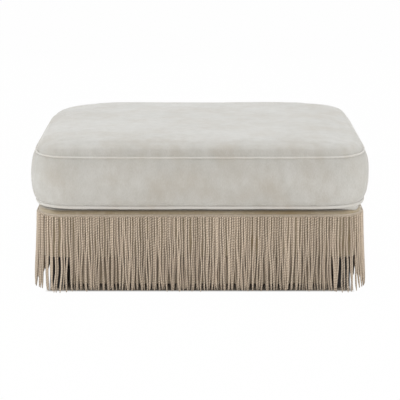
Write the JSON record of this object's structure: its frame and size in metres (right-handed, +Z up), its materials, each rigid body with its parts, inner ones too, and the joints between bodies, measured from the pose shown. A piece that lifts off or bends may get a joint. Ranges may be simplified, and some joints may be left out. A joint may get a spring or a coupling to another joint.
{
  "type": "footstool",
  "caption": "Low rectangular footstool: a loose piped box cushion on an upholstered base with a long cord fringe that hides block feet.",
  "frame": {"origin": "on the floor under the middle of the stool", "axes": "+Z up, +X along the longer side, and the front faces -Y"},
  "size_m": [1, 0.7595, 0.4511],
  "materials": {
    "velvet": "matte",
    "piping": "matte",
    "foam": "matte",
    "zip_tape": "matte",
    "zip_metal": "satin",
    "timber": "matte",
    "webbing": "matte",
    "deck_pad": "matte",
    "base_cloth": "matte",
    "lining": "matte",
    "dust_cloth": "matte",
    "fringe": "satin",
    "black_feet": "satin",
    "steel": "satin",
    "glide_felt": "matte"
  },
  "bodies": {
    "base": {"front_rail": "timber", "back_rail": "timber", "left_rail": "timber", "right_rail": "timber", "cross_rail": "timber", "corner_post_front_left": "timber", "corner_post_front_right": "timber", "corner_post_back_right": "timber", "corner_post_back_left": "timber", "long_web_1": "webbing", "long_web_2": "webbing", "cross_web_1": "webbing", "cross_web_2": "webbing", "cross_web_3": "webbing", "cross_web_4": "webbing", "deck_pad": "deck_pad", "platform_cover": "base_cloth", "border_cover": "base_cloth", "dust_cover": "dust_cloth", "lining_front": "lining", "lining_back": "lining", "lining_left": "lining", "lining_right": "lining", "foot_front_left": "black_feet", "foot_front_right": "black_feet", "foot_back_right": "black_feet", "foot_back_left": "black_feet", "hanger_bolt_front_left": "steel", "hanger_bolt_front_right": "steel", "hanger_bolt_back_right": "steel", "hanger_bolt_back_left": "steel", "insert_nut_front_left": "steel", "insert_nut_front_right": "steel", "insert_nut_back_right": "steel", "insert_nut_back_left": "steel", "glide_front_left": "glide_felt", "glide_front_right": "glide_felt", "glide_back_right": "glide_felt", "glide_back_left": "glide_felt", "fringe_front": "fringe", "fringe_back": "fringe", "fringe_left": "fringe", "fringe_right": "fringe", "fringe_front_left_1": "fringe", "fringe_front_left_2": "fringe", "fringe_front_right_1": "fringe", "fringe_front_right_2": "fringe", "fringe_back_right_1": "fringe", "fringe_back_right_2": "fringe", "fringe_back_left_1": "fringe", "fringe_back_left_2": "fringe"},
    "cushion": {"cushion_core": "foam", "cushion_top_panel": "velvet", "cushion_boxing": "velvet", "cushion_bottom_panel": "velvet", "top_piping": "piping", "bottom_piping": "piping", "zip_tape": "zip_tape"},
    "zip_slider": {"zip_slider": "zip_metal"},
    "zip_pull": {"zip_pull": "zip_metal"}
  },
  "joints": [
    {"name": "cushion_lift", "type": "slide", "parent": "base", "child": "cushion", "axis": [0, 0, 1], "range_m": [0, 0.3]},
    {"name": "zip_slide", "type": "slide", "parent": "cushion", "child": "zip_slider", "axis": [-1, 0, 0], "range_m": [0, 0.4604]},
    {"name": "pull_swing", "type": "hinge", "parent": "zip_slider", "child": "zip_pull", "pos_m": [0.2302, 0.3826, 0.3321], "axis": [0, 0, -1], "range_deg": [0, 180]}
  ]
}
